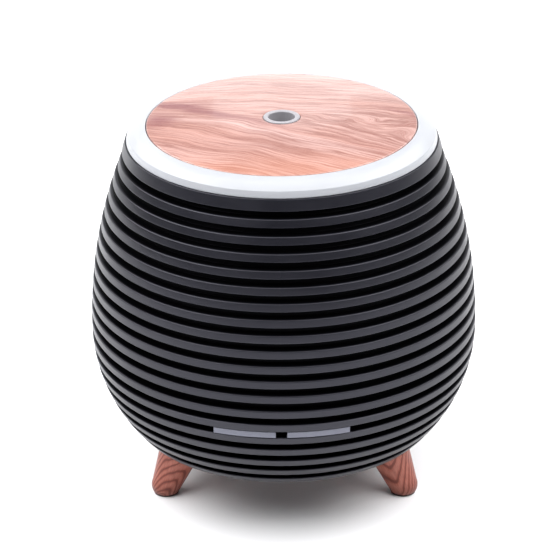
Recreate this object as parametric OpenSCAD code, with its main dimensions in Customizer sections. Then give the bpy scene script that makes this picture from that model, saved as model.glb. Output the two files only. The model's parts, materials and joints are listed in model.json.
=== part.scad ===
// Ultrasonic essential oil diffuser: a ribbed barrel body on three splayed wooden legs.
// Frame: +Z up, origin on the floor under the body's axis. The front, with its two
// buttons, faces -Y. Lengths are millimetres. Levels are heights above the floor.

/* [Body] */
// Widest diameter of the ribbed body
body_d = 130; // [129:0.5:133]
// Level at which the body is widest
belly_z = 57; // [56:0.5:58]
// Arc radius of the body's outline above its widest level
upper_arc_r = 163; // [155:1:170]
// Arc radius of the body's outline below its widest level
lower_arc_r = 51.5; // [50:0.5:54]
// Thickness of the shells behind the grooves
wall = 2.2; // [2:0.1:2.4]

/* [Ribs] */
// Level of the top rib's upper edge
top_rib_z = 117.1; // [116.9:0.1:117.3]
// Distance from one rib to the next
rib_pitch = 5.15; // [5.1:0.01:5.2]
// Height of one rib
rib_h = 2.65; // [2.4:0.05:2.8]
// Depth of the grooves between ribs
groove_depth = 3; // [2.5:0.1:3.2]
// Bevel along each rib's two edges
rib_edge = 0.3; // [0.1:0.05:0.4]
// Diameter of the plain band above the ribs, at its lower edge
band_d = 106; // [105:0.5:107]
// Diameter of the plain band at its upper edge
band_top_d = 103.6; // [103:0.2:105]

/* [Top] */
// Diameter of the wood disc
disc_d = 89.3; // [89:0.1:89.6]
// Rise of the wood disc's domed face from its edge to its middle
disc_rise = 1.9; // [1:0.1:2.4]
// Diameter of the hole that the mist leaves by
outlet_d = 8.7; // [8:0.1:9]

/* [Legs] */
// Distance from the axis to the middle of each foot
foot_circle_r = 45.8; // [45:0.1:46.4]
// Lean of each leg from the vertical, in degrees
leg_splay = 24.2; // [23.6:0.1:25]
// Leg radius where its axis meets the floor
foot_r = 4.45; // [4.2:0.05:4.6]
// Growth of the leg's radius per millimetre along its axis
leg_taper = 0.157; // [0.14:0.001:0.165]

/* [Buttons] */
// Distance from the front centre line to each button's outer end
button_end_x = 22; // [20:0.5:23]
// Gap between the two buttons
button_gap = 3.7; // [3:0.1:4.5]
// Height of each button
button_h = 2; // [1.8:0.05:2.05]

/* [Hidden] */
$fn = 96;

// ---- Shared clearances and the ribbed outline
over = 1;               // how far a cutting shape passes the face that it cuts
slack = 0.05;           // radial room of a screw or stud in its hole
shell_depth = groove_depth + wall;
cover_ribs = 12;
base_ribs = 7;
parting_gap = 0.3;      // extra room in the groove where cover and base meet

function bulge(z, arc_r) = arc_r - sqrt(arc_r * arc_r - (z - belly_z) * (z - belly_z));
function body_r(z) = body_d / 2 - bulge(z, z > belly_z ? upper_arc_r : lower_arc_r);
function rib_top(i) = top_rib_z - i * rib_pitch - (i < cover_ribs ? 0 : parting_gap);
function rib_low(i) = rib_top(i) - rib_h;

// One rib's outline from its lower groove corner up to its upper groove corner
function rib_outline(low, top) = [
    [body_r(low) - groove_depth, low],
    [body_r(low) - rib_edge, low],
    [body_r(low + rib_edge), low + rib_edge],
    [body_r(top - rib_edge), top - rib_edge],
    [body_r(top) - rib_edge, top],
    [body_r(top) - groove_depth, top]
];
function inner_wall(from_z, to_z, steps) = [
    for (k = [0 : steps])
        let (z = from_z + (to_z - from_z) * k / steps)
        [body_r(z) - shell_depth, z]
];

part_z = (rib_low(cover_ribs - 1) + rib_top(cover_ribs)) / 2;

// ---- Cover levels
band_low_z = top_rib_z + 2.4;
band_top_z = band_low_z + 3.8;
band_r = band_d / 2;
band_top_r = band_top_d / 2;
roof_t = 2.4;           // thickness of the cover shell's roof
cover_lift_slack = 0.4; // radial room between the cover and the base's locating lip
spigot_r = 43.6;        // light ring's spigot, which drops into the cover's roof
spigot_h = 3.4;
ring_low_r = band_top_r - 0.4;
ring_shoulder_r = ring_low_r - 0.5;
ring_shoulder_z = band_top_z + 2.4;
disc_r = disc_d / 2;
disc_seat_r = disc_r + 0.25;
disc_edge_z = band_top_z + 5.2;
deck_t = 2.3;           // thickness of the deck under the wood disc
deck_z = band_top_z + deck_t;
outlet_r = outlet_d / 2;
nozzle_r = outlet_r + 0.95;
flange_r = outlet_r + 1.7;
land_r = flange_r + 0.2;
nozzle_top_z = disc_edge_z + disc_rise + 0.3;
flange_t = 0.9;
nozzle_low_z = band_top_z - 4.3;

// ---- Mist hood
hood_wall = 1.8;
hood_skirt_r = 49;
hood_plate_z = band_top_z - 6.3;
hood_plate_r = 30;
hood_shoulder_z = hood_plate_z - 15;
hood_low_z = hood_shoulder_z - 8;
chimney_r = nozzle_r + 0.3;
chimney_low_z = hood_plate_z - 5;
hood_screw_r = 24;
HOOD_SCREW_ANGLES = [30, 150, 270];
hood_boss_r = 3.2;
screw_r = 1.45;
screw_head_r = 2.8;
screw_head_t = 1.6;
small_screw_r = 1.1;
small_head_r = 2.1;

// ---- Base levels
shelf_z = part_z - 3.9; // top of the shelf that carries the tank
shelf_t = 2;
shelf_r = 50.5;
lip_r = body_d / 2 - shell_depth - cover_lift_slack;
lip_t = 1.7;
lip_top_z = part_z + 4.1;
base_low_z = rib_low(cover_ribs + base_ribs - 1);
plate_z = base_low_z + 1.5;
plate_t = 2;
plate_r = 45.4;
plate_top_z = plate_z + plate_t;
rebate_r = plate_r + 0.3;
foot_flange_r = 42;     // inner radius of the base shell's bottom flange
foot_flange_t = 2;
bottom_screw_r = 42.4;
BOTTOM_SCREW_ANGLES = [0, 120, 240];
bottom_boss_r = 2.7;
bottom_boss_low_z = plate_top_z + 0.5;
bottom_boss_top_z = plate_top_z + 8;

// ---- Tank
seal_t = 1;
flange_low_z = shelf_z + seal_t;
tank_flange_t = 2;
tank_flange_r = 57.2;
tank_wall = 2;
tank_r = 46.5;
tank_rim_z = 98;
tank_floor_z = 60;
well_floor_z = 54.5;
well_low_z = 52;
well_r = 13;
well_hole_r = 8.5;
tank_screw_r = 54;
TANK_SCREW_ANGLES = [60, 180, 300];
tank_boss_top_z = 62;
fill_mark_z = 88;

// ---- Fan and air duct, which share one upright axis
fan_angle = 30;
fan_circle_r = 29;
fan_x = fan_circle_r * cos(fan_angle);
fan_y = fan_circle_r * sin(fan_angle);
fan_w = 30;
fan_t = 10;
fan_bore_r = 14;
fan_hole_off = 12;
fan_top_z = plate_top_z + fan_t;
fan_notch_w = fan_w + 0.8; // notch in the base shell's bottom flange
gasket_t = 1;
duct_r = 9;
duct_wall = 1.8;
duct_low_z = fan_top_z + gasket_t;
duct_flare_r = 14.8;
duct_flare_h = 8;
duct_top_z = 103;
grille_r = 12.6;         // air slots in the bottom plate under the fan
grille_pitch = 3.4;
grille_slot_w = 2;
grille_side = 3;        // slots on each side of the middle one
frame_base_t = 1.2;
bearing_r = 2;
bearing_slack = 0.06;
bearing_top = 7;        // bearing post's height over the plate
rotor_low = 1.8;
rotor_h = 7;
rotor_hub_r = 7.6;
rotor_tip_r = 13.3;
blades = 7;
blade_twist = 50;
blade_w = 7.4;
blade_t = 0.9;

// ---- Ultrasonic atomiser
piezo_r = 9.95;
piezo_t = 1.2;
seal_r = 12.6;
seal_h = 3.2;
seal_low_z = well_low_z - seal_h;
clamp_t = 1.6;
clamp_low_z = seal_low_z - clamp_t;
clamp_r = 17.8;
clamp_screw_r = 15.4;
CLAMP_SCREW_ANGLES = [90, 210, 330];

// ---- Lamp board
led_board_z = 53;
led_board_t = 1.2;
led_circle_r = 23;
LED_ANGLES = [90, 150, 180, 240, 270, 330];
LED_SCREW_ANGLES = [120, 210, 300];
led_w = 4;
led_h = 1.6;

// ---- Main board
pcb_z = 36.4;
pcb_t = 1.6;
pcb_top_z = pcb_z + pcb_t;
pcb_x0 = -33;
pcb_x1 = 7;
pcb_y0 = -28;
pcb_y1 = 8;
pcb_inset = 3.5;         // from the board's edges to its screws
pcb_post_r = 2.3;
pcb_screw_r = 1.2;
pcb_screw_len = 8;
pcb_pilot_h = 7;        // depth of the screw's hole in its post
connector_w = 4.4;
connector_d = 4;
connector_h = 5;
connector_x = [-24.2, -18.6, -13, -7.4, -1.8];

// ---- Buttons, the board behind them and their switches
button_rib = cover_ribs + 1;
button_low_z = rib_top(button_rib + 1) + 0.25;
button_slot_gap = 0.1;  // room above and below a button in the shell's slot
button_top_z = button_low_z + button_h;
button_mid_z = button_low_z + button_h / 2;
button_face_inset = 0.15;
button_stop_h = 0.9;    // how far a button's stop reaches above and below its bar
button_stop_t = 1.4;
button_stop_r = body_r(button_low_z - button_stop_h) - shell_depth - 0.2;
button_stem_r = 1.6;
button_stem_len = 5.3;
button_x = (button_end_x + button_gap / 2) / 2;
slot_gap = 0.2;
board_face_y = -46.4;
board_t = 1.6;
board_w = 45;
board_low_z = 38;
board_h = 12;
board_post_x = 19.5;
board_post_z = 41;
board_post_r = 2.2;
board_pilot_len = 7;
switch_w = 6;
switch_d = 3.5;
plunger_r = 1.7;
plunger_slack = 0.08;
plunger_out = 1.5;
plunger_in = 0.4;       // part of the plunger inside its switch

// ---- Power inlet
jack_z = (rib_top(cover_ribs + 4) + rib_low(cover_ribs + 3)) / 2;
jack_face_y = 60.4;
jack_boss_r = 6.8;
jack_boss_y = jack_face_y + 0.4;
jack_barrel_r = 4.95;
jack_bore_r = 2.9;
jack_back_y = 46;
jack_block_len = 5;
jack_block_w = 10;
jack_boss_low_y = jack_back_y + jack_block_len;
jack_pin_r = 1.05;
jack_pin_len = 13.4;

// ---- Internal wiring
lead_r = 0.9;
lead_sides = 8;
lead_ref = [1, 0, 0.6]; // no lead runs this way, so its rings never twist
lead_y = pcb_y0 + connector_d / 2;
lead_z = pcb_top_z + connector_h;

// ---- Legs, each built along its own leaning axis
leg_side_angle = 65.6;  // from the front centre line round to each front leg
leg_angle_left = 270 - leg_side_angle;
leg_angle_right = 270 + leg_side_angle;
leg_angle_back = 90;
LEG_ANGLES = [leg_angle_left, leg_angle_right, leg_angle_back];
leg_low_s = 3.3;        // where the rounded tip ends and the taper starts, along the axis
leg_tip_r = foot_r + leg_taper * leg_low_s;
pad_t = 0.8;
pad_r = 4.2;
leg_len = 32;
stud_r = 2.5;
stud_low_s = 14;
boss_top_s = 32;
leg_boss_r = 6;
nut_t = 4;
nut_r = 4.6;

// ---- Helpers
module on_circle(r, angles) {
    for (a = angles)
        rotate([0, 0, a])
            translate([r, 0, 0])
                children();
}

module at_leg(angle) {
    rotate([0, 0, angle])
        translate([foot_circle_r, 0, 0])
            rotate([0, -leg_splay, 0])
                children();
}

module at_pcb_corners(z) {
    for (x = [pcb_x0 + pcb_inset, pcb_x1 - pcb_inset])
        for (y = [pcb_y0 + pcb_inset, pcb_y1 - pcb_inset])
            translate([x, y, z])
                children();
}

module at_fan(z) {
    translate([fan_x, fan_y, z])
        rotate([0, 0, fan_angle])
            children();
}

module at_fan_corners(z) {
    at_fan(z)
        for (x = [-fan_hole_off, fan_hole_off])
            for (y = [-fan_hole_off, fan_hole_off])
                translate([x, y, 0])
                    children();
}

// Round hole or pin along +Y
module along_y(r, x, y, z, len) {
    translate([x, y, z])
        rotate([-90, 0, 0])
            cylinder(r = r, h = len);
}

module tube(outer_r, inner_r, low, top) {
    difference() {
        translate([0, 0, low])
            cylinder(r = outer_r, h = top - low);
        translate([0, 0, low - over])
            cylinder(r = inner_r, h = top - low + 2 * over);
    }
}

// Pan-head screw pointing up from z = 0, its head below
module screw_up(len, r = screw_r, head_r = screw_head_r) {
    translate([0, 0, -screw_head_t])
        cylinder(r = head_r, h = screw_head_t);
    cylinder(r = r, h = len);
}

// A route with its corners cut, so that the lead bends softly
function eased(p) = concat(
    [p[0]],
    [for (i = [0 : len(p) - 2]) each [0.75 * p[i] + 0.25 * p[i + 1], 0.25 * p[i] + 0.75 * p[i + 1]]],
    [p[len(p) - 1]]
);
function unit(v) = v / norm(v);
function heading(p, i) = unit(p[min(i + 1, len(p) - 1)] - p[max(i - 1, 0)]);
function lead_ring(p, t) =
    let (n = unit(cross(t, lead_ref)), b = cross(t, n))
    [for (k = [0 : lead_sides - 1])
        p + lead_r * (cos(360 * k / lead_sides) * n + sin(360 * k / lead_sides) * b)];

// Round two-core lead swept along a route
module lead(route, colour) {
    path = eased(route);
    last = len(path) - 1;
    n = lead_sides;
    color(colour)
        polyhedron(
            points = [for (i = [0 : last]) each lead_ring(path[i], heading(path, i))],
            faces = concat(
                [[for (k = [0 : n - 1]) k]],
                [[for (k = [n - 1 : -1 : 0]) last * n + k]],
                [for (i = [0 : last - 1], k = [0 : n - 1])
                    let (j = (k + 1) % n, from = i * n, to = (i + 1) * n)
                    each [[from + k, to + k, to + j], [from + k, to + j, from + j]]]
            )
        );
}

// ---- Cover
module cover_shell() {
    roof_low_z = band_top_z - roof_t;
    ribs = [for (i = [cover_ribs - 1 : -1 : 0]) each rib_outline(rib_low(i), rib_top(i))];
    band = [
        [body_r(band_low_z) - groove_depth, band_low_z],
        [band_r - rib_edge, band_low_z],
        [band_r, band_low_z + rib_edge],
        [band_top_r, band_top_z - rib_edge],
        [band_top_r - rib_edge, band_top_z],
        [spigot_r + slack, band_top_z],
        [spigot_r + slack, roof_low_z]
    ];
    inside = inner_wall(roof_low_z, part_z, 12);
    foot = [[body_r(part_z) - groove_depth, part_z]];
    color("#17171a")
        rotate_extrude($fn = 180)
            polygon(concat(foot, ribs, band, inside));
}

module light_ring() {
    crown_steps = 6;
    crown = [
        for (k = [0 : crown_steps])
            let (t = k / crown_steps, bow = 0.35 * sin(180 * t))
            [
                ring_shoulder_r + (disc_seat_r - ring_shoulder_r) * t + bow,
                ring_shoulder_z + (disc_edge_z - ring_shoulder_z) * t + bow
            ]
    ];
    outline = concat(
        [
            [nozzle_r + slack, band_top_z],
            [spigot_r - 2, band_top_z],
            [spigot_r - 2, band_top_z - spigot_h],
            [spigot_r, band_top_z - spigot_h],
            [spigot_r, band_top_z],
            [ring_low_r, band_top_z]
        ],
        crown,
        [
            [disc_seat_r, deck_z],
            [nozzle_r + slack, deck_z]
        ]
    );
    boss_low_z = hood_plate_z + hood_wall;
    color("#eef0f2") {
        rotate_extrude($fn = 180)
            polygon(outline);
        on_circle(hood_screw_r, HOOD_SCREW_ANGLES)
            tube(hood_boss_r, screw_r + slack, boss_low_z, band_top_z + 0.01);
    }
}

module wood_disc() {
    dome_steps = 16;
    edge_round = 0.35;
    land_z = nozzle_top_z - flange_t;
    dome_r = (disc_r * disc_r + disc_rise * disc_rise) / (2 * disc_rise);
    top_z = disc_edge_z + disc_rise;
    dome = [
        for (k = [0 : dome_steps])
            let (r = (disc_r - edge_round) + (land_r - disc_r + edge_round) * k / dome_steps)
            [r, top_z - dome_r + sqrt(dome_r * dome_r - r * r)]
    ];
    color("#b8765a")
        rotate_extrude($fn = 180)
            polygon(concat(
                [[nozzle_r + slack, deck_z], [disc_r, deck_z], [disc_r, disc_edge_z - edge_round]],
                dome,
                [[land_r, land_z], [nozzle_r + slack, land_z]]
            ));
}

module mist_nozzle() {
    edge = 0.35;
    under_z = nozzle_top_z - flange_t;
    color("#a9abad")
        rotate_extrude()
            polygon([
                [outlet_r, nozzle_low_z],
                [nozzle_r, nozzle_low_z],
                [nozzle_r, under_z],
                [flange_r, under_z],
                [flange_r, nozzle_top_z - edge],
                [flange_r - edge, nozzle_top_z],
                [outlet_r + edge, nozzle_top_z],
                [outlet_r, nozzle_top_z - edge]
            ]);
}

module mist_hood() {
    chimney_out_r = chimney_r + 1.6;
    slope_in = 0.9;
    color("#e9ebec")
        difference() {
            rotate_extrude()
                polygon([
                    [chimney_r, chimney_low_z],
                    [chimney_out_r, chimney_low_z],
                    [chimney_out_r, hood_plate_z],
                    [hood_plate_r - slope_in, hood_plate_z],
                    [hood_skirt_r - hood_wall, hood_shoulder_z - slope_in],
                    [hood_skirt_r - hood_wall, hood_low_z],
                    [hood_skirt_r, hood_low_z],
                    [hood_skirt_r, hood_shoulder_z],
                    [hood_plate_r, hood_plate_z + hood_wall],
                    [chimney_out_r, hood_plate_z + hood_wall],
                    [chimney_out_r, band_top_z],
                    [chimney_r, band_top_z]
                ]);
            on_circle(hood_screw_r, HOOD_SCREW_ANGLES)
                translate([0, 0, hood_plate_z - over])
                    cylinder(r = screw_r + slack, h = hood_wall + 2 * over);
        }
}

module hood_screws() {
    color("#8f9194")
        on_circle(hood_screw_r, HOOD_SCREW_ANGLES)
            translate([0, 0, hood_plate_z])
                screw_up(5.6);
}

// ---- Base
module base_shell() {
    last = cover_ribs + base_ribs - 1;
    ribs = [for (i = [last : -1 : cover_ribs]) each rib_outline(rib_low(i), rib_top(i))];
    lip_in_r = lip_r - lip_t;
    outline = concat(
        [[rebate_r, base_low_z]],
        ribs,
        [
            [body_r(part_z) - groove_depth, part_z],
            [lip_r, part_z],
            [lip_r, lip_top_z - rib_edge],
            [lip_r - rib_edge, lip_top_z],
            [lip_in_r, lip_top_z],
            [lip_in_r, shelf_z],
            [shelf_r, shelf_z],
            [shelf_r, shelf_z - shelf_t]
        ],
        inner_wall(shelf_z - shelf_t, plate_top_z + foot_flange_t, 6),
        [
            [foot_flange_r, plate_top_z + foot_flange_t],
            [foot_flange_r, plate_top_z],
            [rebate_r, plate_top_z]
        ]
    );
    color("#17171a")
        difference() {
            union() {
                rotate_extrude($fn = 180)
                    polygon(outline);
                on_circle(bottom_screw_r, BOTTOM_SCREW_ANGLES)
                    translate([0, 0, bottom_boss_low_z])
                        cylinder(r = bottom_boss_r, h = bottom_boss_top_z - bottom_boss_low_z);
                for (side = [-1, 1])
                    along_y(board_post_r, side * board_post_x, board_face_y - 8.4, board_post_z, 8.4);
                along_y(jack_boss_r, 0, jack_boss_low_y, jack_z, jack_boss_y - jack_boss_low_y);
            }
            on_circle(bottom_screw_r, BOTTOM_SCREW_ANGLES)
                translate([0, 0, plate_top_z - over])
                    cylinder(r = screw_r + slack, h = bottom_boss_top_z - plate_top_z + over);
            on_circle(tank_screw_r, TANK_SCREW_ANGLES)
                translate([0, 0, shelf_z - shelf_t - over])
                    cylinder(r = screw_r + slack, h = shelf_t + 2 * over);
            for (side = [-1, 1]) {
                along_y(
                    small_screw_r + slack, side * board_post_x,
                    board_face_y - board_pilot_len, board_post_z, board_pilot_len + over
                );
                button_slot(side);
            }
            along_y(jack_barrel_r + 2 * slack, 0, jack_back_y, jack_z, 20);
            along_y(jack_boss_r + 0.5, 0, jack_boss_y, jack_z, 8);
            at_fan(plate_top_z)
                translate([-fan_notch_w / 2, -fan_notch_w / 2, 0])
                    cube([fan_notch_w, fan_notch_w, foot_flange_t + over]);
        }
}

// Slot that one button passes through, in the groove between two ribs
module button_slot(side) {
    near_x = button_gap / 2 - slot_gap;
    slot_w = button_end_x + slot_gap - near_x;
    slot_low = button_low_z - button_slot_gap;
    translate([side > 0 ? near_x : -near_x - slot_w, -body_d / 2, slot_low])
        cube([slot_w, 18, button_h + 2 * button_slot_gap]);
}

module bottom_plate() {
    color("#1d1d20")
        difference() {
            union() {
                translate([0, 0, plate_z])
                    cylinder(r = plate_r, h = plate_t);
                at_pcb_corners(plate_z)
                    cylinder(r = pcb_post_r, h = pcb_z - plate_z);
                for (a = LEG_ANGLES)
                    intersection() {
                        at_leg(a)
                            cylinder(r = leg_boss_r, h = boss_top_s);
                        translate([-plate_r, -plate_r, plate_z])
                            cube([2 * plate_r, 2 * plate_r, 20]);
                    }
            }
            at_pcb_corners(pcb_z - pcb_pilot_h)
                cylinder(r = pcb_screw_r + slack, h = pcb_pilot_h + over);
            for (a = LEG_ANGLES)
                at_leg(a)
                    cylinder(r = stud_r + slack, h = boss_top_s + over);
            on_circle(bottom_screw_r, BOTTOM_SCREW_ANGLES)
                translate([0, 0, plate_z - over])
                    cylinder(r = screw_r + slack, h = plate_t + 2 * over);
            at_fan_corners(plate_z - over)
                cylinder(r = screw_r + slack, h = plate_t + 2 * over);
            at_fan(plate_z - over)
                for (k = [-grille_side : grille_side])
                    translate([k * grille_pitch - grille_slot_w / 2, -grille_half(k), 0])
                        cube([grille_slot_w, 2 * grille_half(k), plate_t + 2 * over]);
        }
}

// Half length of one of the air slots under the fan
function grille_half(k) = sqrt(grille_r * grille_r - pow(k * grille_pitch, 2));

module bottom_screws() {
    color("#8f9194")
        on_circle(bottom_screw_r, BOTTOM_SCREW_ANGLES)
            translate([0, 0, plate_z])
                screw_up(8);
}

// ---- Tank
module water_tank() {
    inner_r = tank_r - tank_wall;
    rim = 0.5;
    color("#f2f3f3")
        difference() {
            union() {
                rotate_extrude()
                    polygon([
                        [well_hole_r, well_low_z],
                        [well_r + tank_wall, well_low_z],
                        [well_r + tank_wall, tank_floor_z - tank_wall],
                        [inner_r, tank_floor_z - tank_wall],
                        [inner_r, flange_low_z],
                        [tank_flange_r, flange_low_z],
                        [tank_flange_r, flange_low_z + tank_flange_t],
                        [tank_r, flange_low_z + tank_flange_t],
                        [tank_r, tank_rim_z - rim],
                        [tank_r - rim, tank_rim_z],
                        [inner_r + rim, tank_rim_z],
                        [inner_r, tank_rim_z - rim],
                        [inner_r, fill_mark_z + 0.6],
                        [inner_r - 0.4, fill_mark_z],
                        [inner_r, fill_mark_z - 0.6],
                        [inner_r, tank_floor_z + 1.5],
                        [well_r, tank_floor_z],
                        [well_r, well_floor_z],
                        [well_hole_r, well_floor_z]
                    ]);
                on_circle(clamp_screw_r, CLAMP_SCREW_ANGLES)
                    translate([0, 0, seal_low_z])
                        cylinder(r = 2.4, h = tank_floor_z - seal_low_z - 1);
                on_circle(led_circle_r, LED_SCREW_ANGLES)
                    translate([0, 0, led_board_z + led_board_t])
                        cylinder(r = 2.2, h = tank_floor_z - led_board_z - led_board_t - 1);
                on_circle(tank_screw_r, TANK_SCREW_ANGLES)
                    translate([0, 0, flange_low_z])
                        cylinder(r = 3, h = tank_boss_top_z - flange_low_z);
                at_fan(duct_low_z)
                    cylinder(r = duct_r, h = duct_top_z - duct_low_z);
                at_fan(duct_low_z)
                    cylinder(r1 = duct_flare_r, r2 = duct_r, h = duct_flare_h);
            }
            on_circle(clamp_screw_r, CLAMP_SCREW_ANGLES)
                translate([0, 0, seal_low_z - over])
                    cylinder(r = small_screw_r + slack, h = 7);
            on_circle(led_circle_r, LED_SCREW_ANGLES)
                translate([0, 0, led_board_z])
                    cylinder(r = small_screw_r + slack, h = 5.5);
            on_circle(tank_screw_r, TANK_SCREW_ANGLES)
                translate([0, 0, flange_low_z - over])
                    cylinder(r = screw_r + slack, h = 7);
            at_fan(duct_low_z - 0.01)
                cylinder(r = duct_r - duct_wall, h = duct_top_z - duct_low_z - duct_wall);
            at_fan(duct_low_z - 0.01)
                cylinder(r1 = duct_flare_r - duct_wall, r2 = duct_r - duct_wall, h = duct_flare_h);
            at_fan(duct_top_z - duct_wall - 5)
                translate([-duct_r - over, -4.5, 0])
                    cube([duct_r, 9, 5]);
        }
}

module tank_seal() {
    color("#3a3a3d")
        difference() {
            tube(tank_flange_r, shelf_r + 0.5, shelf_z, flange_low_z);
            on_circle(tank_screw_r, TANK_SCREW_ANGLES)
                translate([0, 0, shelf_z - over])
                    cylinder(r = screw_r + 0.3, h = seal_t + 2 * over);
        }
}

module tank_screws() {
    color("#8f9194")
        on_circle(tank_screw_r, TANK_SCREW_ANGLES)
            translate([0, 0, shelf_z - shelf_t])
                screw_up(8);
}

// ---- Ultrasonic atomiser
module transducer_disc() {
    color("#c9c4b4")
        translate([0, 0, seal_low_z + (seal_h - piezo_t) / 2])
            cylinder(r = piezo_r, h = piezo_t);
}

module transducer_seal() {
    mid_z = seal_low_z + seal_h / 2;
    color("#e4e1d8")
        difference() {
            tube(seal_r, well_hole_r - 0.1, seal_low_z, well_low_z);
            translate([0, 0, mid_z - piezo_t / 2 - slack])
                cylinder(r = piezo_r + slack, h = piezo_t + 2 * slack);
        }
}

module transducer_clamp() {
    color("#b9bbbe")
        difference() {
            tube(clamp_r, 7.5, clamp_low_z, seal_low_z);
            on_circle(clamp_screw_r, CLAMP_SCREW_ANGLES)
                translate([0, 0, clamp_low_z - over])
                    cylinder(r = small_screw_r + 2 * slack, h = clamp_t + 2 * over);
        }
}

module clamp_screws() {
    color("#8f9194")
        on_circle(clamp_screw_r, CLAMP_SCREW_ANGLES)
            translate([0, 0, clamp_low_z])
                screw_up(6.5, small_screw_r, small_head_r);
}

// ---- Lamp
module led_board() {
    color("#e8e8e4")
        difference() {
            tube(27, 18.5, led_board_z, led_board_z + led_board_t);
            at_fan(led_board_z - over)
                cylinder(r = duct_r + 1.5, h = led_board_t + 2 * over);
            on_circle(led_circle_r, LED_SCREW_ANGLES)
                translate([0, 0, led_board_z - over])
                    cylinder(r = small_screw_r + 2 * slack, h = led_board_t + 2 * over);
        }
}

module leds() {
    color("#f4e9b8")
        on_circle(led_circle_r, LED_ANGLES)
            translate([-led_w / 2, -led_w / 2, led_board_z + led_board_t])
                cube([led_w, led_w, led_h]);
}

module led_board_screws() {
    color("#8f9194")
        on_circle(led_circle_r, LED_SCREW_ANGLES)
            translate([0, 0, led_board_z])
                screw_up(5, small_screw_r, small_head_r);
}

// ---- Main board and what is soldered to it
module main_pcb() {
    color("#2f6b45")
        difference() {
            translate([pcb_x0, pcb_y0, pcb_z])
                cube([pcb_x1 - pcb_x0, pcb_y1 - pcb_y0, pcb_t]);
            at_pcb_corners(pcb_z - over)
                cylinder(r = pcb_screw_r + 2 * slack, h = pcb_t + 2 * over);
        }
}

module pcb_screws() {
    color("#8f9194")
        at_pcb_corners(pcb_top_z)
            mirror([0, 0, 1])
                screw_up(pcb_screw_len, pcb_screw_r, small_head_r);
}

module control_chip() {
    color("#26262a")
        translate([-19, -20, pcb_top_z])
            cube([8, 6, 1.6]);
}

module power_transistor() {
    color("#26262a")
        translate([-23.9, -15, pcb_top_z])
            cube([2.4, 10, 10]);
}

module heat_sink() {
    fins = 4;
    fin_t = 1.2;
    fin_pitch = (12 - fin_t) / (fins - 1);
    color("#b9bbbe")
        translate([-32, -16, pcb_top_z])
            linear_extrude(12)
                union() {
                    translate([6.5, 0])
                        square([1.5, 12]);
                    for (k = [0 : fins - 1])
                        translate([0, k * fin_pitch])
                            square([7, fin_t]);
                }
}

module driver_coil() {
    color("#7a4a2c")
        translate([-7, 1.5, pcb_top_z]) {
            cylinder(r = 4.5, h = 1);
            cylinder(r = 3.6, h = 6);
            translate([0, 0, 5])
                cylinder(r = 4.5, h = 1);
        }
}

module capacitors() {
    color("#33405e")
        for (x = [-22.5, -16])
            translate([x, 1.5, pcb_top_z])
                cylinder(r = 3.1, h = 8);
}

module lead_connectors() {
    color("#efe9da")
        for (x = connector_x)
            translate([x - connector_w / 2, pcb_y0, pcb_top_z])
                cube([connector_w, connector_d, connector_h]);
}

// ---- Fan
module fan_frame() {
    hub_r = 8;
    arm_w = 2;
    color("#232326")
        at_fan(plate_top_z)
            difference() {
                union() {
                    difference() {
                        translate([-fan_w / 2, -fan_w / 2, 0])
                            cube([fan_w, fan_w, fan_t]);
                        translate([0, 0, -over])
                            cylinder(r = fan_bore_r, h = fan_t + 2 * over);
                    }
                    cylinder(r = hub_r, h = frame_base_t);
                    cylinder(r = bearing_r, h = bearing_top);
                    for (a = [45, 165, 285])
                        rotate([0, 0, a])
                            translate([hub_r - over, -arm_w / 2, 0])
                                cube([fan_bore_r - hub_r + 1.5 * over, arm_w, frame_base_t]);
                }
                for (x = [-fan_hole_off, fan_hole_off])
                    for (y = [-fan_hole_off, fan_hole_off])
                        translate([x, y, -over])
                            cylinder(r = screw_r + slack, h = fan_t + 2 * over);
            }
}

module fan_gasket() {
    color("#4a4a4e")
        at_fan(0)
            tube(duct_flare_r, duct_flare_r - duct_wall, fan_top_z, fan_top_z + gasket_t);
}

module fan_screws() {
    color("#8f9194")
        at_fan_corners(plate_z)
            screw_up(10);
}

module fan_rotor() {
    bore_h = bearing_top - rotor_low + 0.3;
    color("#2c2c30")
        at_fan(plate_top_z + rotor_low)
            difference() {
                union() {
                    cylinder(r = rotor_hub_r, h = rotor_h);
                    intersection() {
                        cylinder(r = rotor_tip_r, h = rotor_h);
                        for (k = [0 : blades - 1])
                            rotate([0, 0, k * 360 / blades])
                                translate([rotor_tip_r / 2, 0, rotor_h / 2])
                                    rotate([blade_twist, 0, 0])
                                        cube([rotor_tip_r + 2 * over, blade_w, blade_t], center = true);
                    }
                }
                translate([0, 0, -over])
                    cylinder(r = bearing_r + bearing_slack, h = bore_h + over);
            }
}

// ---- Buttons and switches
// side is -1 for the light button and 1 for the mist button
module button(side) {
    near_x = button_gap / 2;
    bar_w = button_end_x - near_x;
    face_r = body_r(button_mid_z) - button_face_inset;
    back_y = board_face_y - switch_d - plunger_out;
    stop_in_r = button_stop_r - button_stop_t;
    bar_x = side > 0 ? near_x : -near_x - bar_w;
    color("#c6cbd0") {
        intersection() {
            union() {
                tube(face_r, stop_in_r, button_low_z, button_top_z);
                tube(
                    button_stop_r, stop_in_r,
                    button_low_z - button_stop_h, button_top_z + button_stop_h
                );
            }
            translate([bar_x, -body_d / 2, button_low_z - 2 * over])
                cube([bar_w, body_d / 4, button_h + 4 * over]);
        }
        along_y(
            button_stem_r, side * button_x,
            back_y - button_stem_len, button_mid_z, button_stem_len
        );
    }
}

module plunger(side) {
    face_y = board_face_y - switch_d;
    color("#e7d8a6")
        along_y(
            plunger_r, side * button_x,
            face_y - plunger_out, button_mid_z, plunger_out + plunger_in
        );
}

module switch_body(side) {
    color("#2a2a2e")
        difference() {
            translate([side * button_x - switch_w / 2, board_face_y - switch_d, button_mid_z - switch_w / 2])
                cube([switch_w, switch_d, switch_w]);
            along_y(
                plunger_r + plunger_slack, side * button_x,
                board_face_y - switch_d - 1.2, button_mid_z, switch_d
            );
        }
}

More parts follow.
